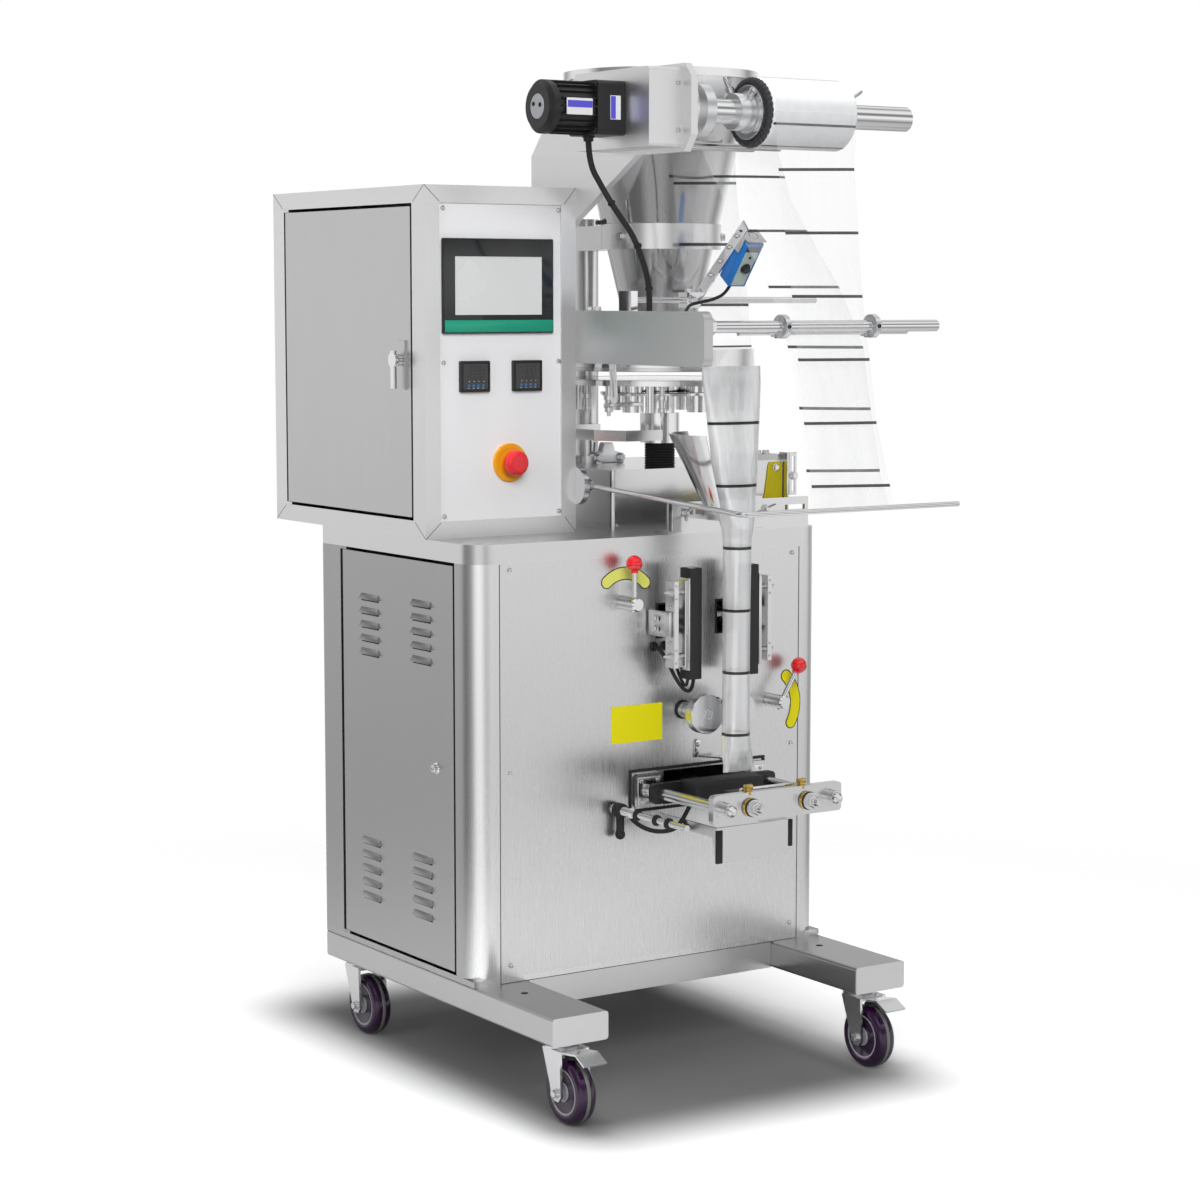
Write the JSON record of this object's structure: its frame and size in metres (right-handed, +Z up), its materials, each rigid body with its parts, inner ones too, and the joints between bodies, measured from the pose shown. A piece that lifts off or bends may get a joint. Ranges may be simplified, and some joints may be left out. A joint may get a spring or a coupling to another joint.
{
  "type": "granule packing machine",
  "caption": "Free-standing vertical form, fill and seal machine for granules, with hopper, film roll, control box and casters.",
  "frame": {"origin": "bottom centre of the whole machine's bounding box, on the floor under the casters", "axes": "+Z up, +X to the machine's right as seen from its front, +Y from the front panel towards the back"},
  "size_m": [0.7502, 0.908, 1.571],
  "materials": {
    "cabinet_steel": "satin sheet",
    "frame_steel": "satin tube",
    "panel_white": "satin",
    "screen_black": "gloss",
    "stop_red": "gloss",
    "collar_yellow": "satin",
    "chrome": "polished",
    "polished_steel": "polished",
    "aluminium": "satin",
    "motor_black": "satin",
    "film": "clear film",
    "sensor_blue": "satin",
    "rubber_black": "matt",
    "caster_zinc": "zinc plate",
    "tyre_purple": "satin"
  },
  "bodies": {
    "machine": {"base_frame": "frame_steel", "cabinet_floor": "cabinet_steel", "cabinet_top": "cabinet_steel", "cabinet_walls": "cabinet_steel", "corner_posts": "cabinet_steel", "front_panel": "cabinet_steel", "control_box_floor": "cabinet_steel", "control_box_roof": "cabinet_steel", "control_box_fascia": "panel_white", "control_box_walls": "cabinet_steel", "control_box_stile": "cabinet_steel", "touch_screen": "screen_black", "stop_collar": "collar_yellow", "bag_chute": "polished_steel", "side_rod": "chrome", "film_tube": "film", "film_web": "film", "roll_bracket": "cabinet_steel", "drive_box": "cabinet_steel", "gear_motor": "motor_black", "shaft_hub": "aluminium", "guide_beam": "cabinet_steel", "guide_rail": "chrome", "sensor_arm": "chrome", "colour_sensor": "sensor_blue", "film_guide_wire": "chrome", "former_bracket": "polished_steel", "former_funnel": "polished_steel", "belt_cover": "cabinet_steel", "bellows": "rubber_black", "filler_tray": "polished_steel", "cables": "rubber_black", "hopper": "polished_steel", "hopper_stand": "polished_steel", "filling_pan": "polished_steel", "drive_shroud": "polished_steel"},
    "side_door": {"side_door": "cabinet_steel"},
    "control_door": {"control_box_door": "cabinet_steel"},
    "box_latch": {"box_latch": "chrome"},
    "stop_button": {"stop_button": "stop_red"},
    "fill_lever": {"fill_lever": "chrome"},
    "pull_lever": {"pull_lever": "chrome"},
    "vertical_sealer_left": {"vertical_sealer_left": "polished_steel"},
    "vertical_sealer_right": {"vertical_sealer_right": "polished_steel"},
    "pull_roller_left": {"pull_roller_left": "aluminium"},
    "pull_roller_right": {"pull_roller_right": "aluminium"},
    "jaw_front": {"jaw_front": "polished_steel"},
    "jaw_rear": {"jaw_rear": "motor_black"},
    "roll_shaft": {"roll_shaft": "polished_steel", "film_roll": "film"},
    "filler_turntable": {"filler_turntable": "polished_steel"},
    "caster_front_left": {"caster_fork_front_left": "caster_zinc"},
    "wheel_front_left": {"caster_wheel_front_left": "tyre_purple"},
    "caster_front_right": {"caster_fork_front_right": "caster_zinc"},
    "wheel_front_right": {"caster_wheel_front_right": "tyre_purple"},
    "caster_rear_left": {"caster_fork_rear_left": "caster_zinc"},
    "wheel_rear_left": {"caster_wheel_rear_left": "tyre_purple"},
    "caster_rear_right": {"caster_fork_rear_right": "caster_zinc"},
    "wheel_rear_right": {"caster_wheel_rear_right": "tyre_purple"}
  },
  "joints": [
    {"name": "side_door_hinge", "type": "hinge", "parent": "machine", "child": "side_door", "pos_m": [-0.34585, 0.226, 0.497], "axis": [0, 0, -1], "range_deg": [0, 110]},
    {"name": "control_door_hinge", "type": "hinge", "parent": "machine", "child": "control_door", "pos_m": [-0.35085, 0.405, 1.116], "axis": [0, 0, -1], "range_deg": [0, 110]},
    {"name": "box_latch_turn", "type": "hinge", "parent": "control_door", "child": "box_latch", "pos_m": [-0.36585, 0.023, 1.12], "axis": [1, 0, 0], "range_deg": [0, 90]},
    {"name": "stop_button_press", "type": "slide", "parent": "machine", "child": "stop_button", "axis": [0, 1, 0], "range_m": [0, 0.004]},
    {"name": "fill_lever_turn", "type": "hinge", "parent": "machine", "child": "fill_lever", "pos_m": [-0.08085, -0.203, 0.745], "axis": [0, 1, 0], "range_deg": [-42, 42]},
    {"name": "pull_lever_turn", "type": "hinge", "parent": "machine", "child": "pull_lever", "pos_m": [0.20415, -0.203, 0.57], "axis": [0, 1, 0], "range_deg": [0, 105]},
    {"name": "vertical_seal_left", "type": "slide", "parent": "machine", "child": "vertical_sealer_left", "axis": [1, 0, 0], "range_m": [0, 0.018]},
    {"name": "vertical_seal_right", "type": "slide", "parent": "machine", "child": "vertical_sealer_right", "axis": [-1, 0, 0], "range_m": [0, 0.018]},
    {"name": "pull_roller_left_spin", "type": "hinge", "parent": "machine", "child": "pull_roller_left", "pos_m": [0.03385, -0.247, 0.568], "axis": [0, 1, 0], "continuous": true},
    {"name": "pull_roller_right_spin", "type": "hinge", "parent": "machine", "child": "pull_roller_right", "pos_m": [0.09645, -0.247, 0.568], "axis": [0, 1, 0], "continuous": true},
    {"name": "jaw_front_slide", "type": "slide", "parent": "machine", "child": "jaw_front", "axis": [0, 1, 0], "range_m": [0, 0.03]},
    {"name": "jaw_rear_slide", "type": "slide", "parent": "machine", "child": "jaw_rear", "axis": [0, -1, 0], "range_m": [0, 0.03]},
    {"name": "roll_shaft_spin", "type": "hinge", "parent": "machine", "child": "roll_shaft", "pos_m": [0.14915, -0.297, 1.4945], "axis": [1, 0, 0], "continuous": true},
    {"name": "turntable_spin", "type": "hinge", "parent": "machine", "child": "filler_turntable", "pos_m": [0.09115, -0.029, 1.08], "axis": [0, 0, 1], "continuous": true},
    {"name": "caster_swivel_front_left", "type": "hinge", "parent": "machine", "child": "caster_front_left", "pos_m": [-0.30285, -0.347, 0.12], "axis": [0, 0, 1], "continuous": true},
    {"name": "wheel_spin_front_left", "type": "hinge", "parent": "caster_front_left", "child": "wheel_front_left", "pos_m": [-0.30285, -0.371, 0.05], "axis": [1, 0, 0], "continuous": true},
    {"name": "caster_swivel_front_right", "type": "hinge", "parent": "machine", "child": "caster_front_right", "pos_m": [0.26115, -0.347, 0.12], "axis": [0, 0, 1], "continuous": true},
    {"name": "wheel_spin_front_right", "type": "hinge", "parent": "caster_front_right", "child": "wheel_front_right", "pos_m": [0.26115, -0.371, 0.05], "axis": [1, 0, 0], "continuous": true},
    {"name": "caster_swivel_rear_left", "type": "hinge", "parent": "machine", "child": "caster_rear_left", "pos_m": [-0.30285, 0.268, 0.12], "axis": [0, 0, 1], "continuous": true},
    {"name": "wheel_spin_rear_left", "type": "hinge", "parent": "caster_rear_left", "child": "wheel_rear_left", "pos_m": [-0.30285, 0.244, 0.05], "axis": [1, 0, 0], "continuous": true},
    {"name": "caster_swivel_rear_right", "type": "hinge", "parent": "machine", "child": "caster_rear_right", "pos_m": [0.26115, 0.268, 0.12], "axis": [0, 0, 1], "continuous": true},
    {"name": "wheel_spin_rear_right", "type": "hinge", "parent": "caster_rear_right", "child": "wheel_rear_right", "pos_m": [0.26115, 0.244, 0.05], "axis": [1, 0, 0], "continuous": true}
  ],
  "couplings": [
    {"joint": "vertical_seal_right", "follows": "vertical_seal_left", "ratio": 1},
    {"joint": "pull_roller_right_spin", "follows": "pull_roller_left_spin", "ratio": -1},
    {"joint": "jaw_rear_slide", "follows": "jaw_front_slide", "ratio": 1}
  ]
}
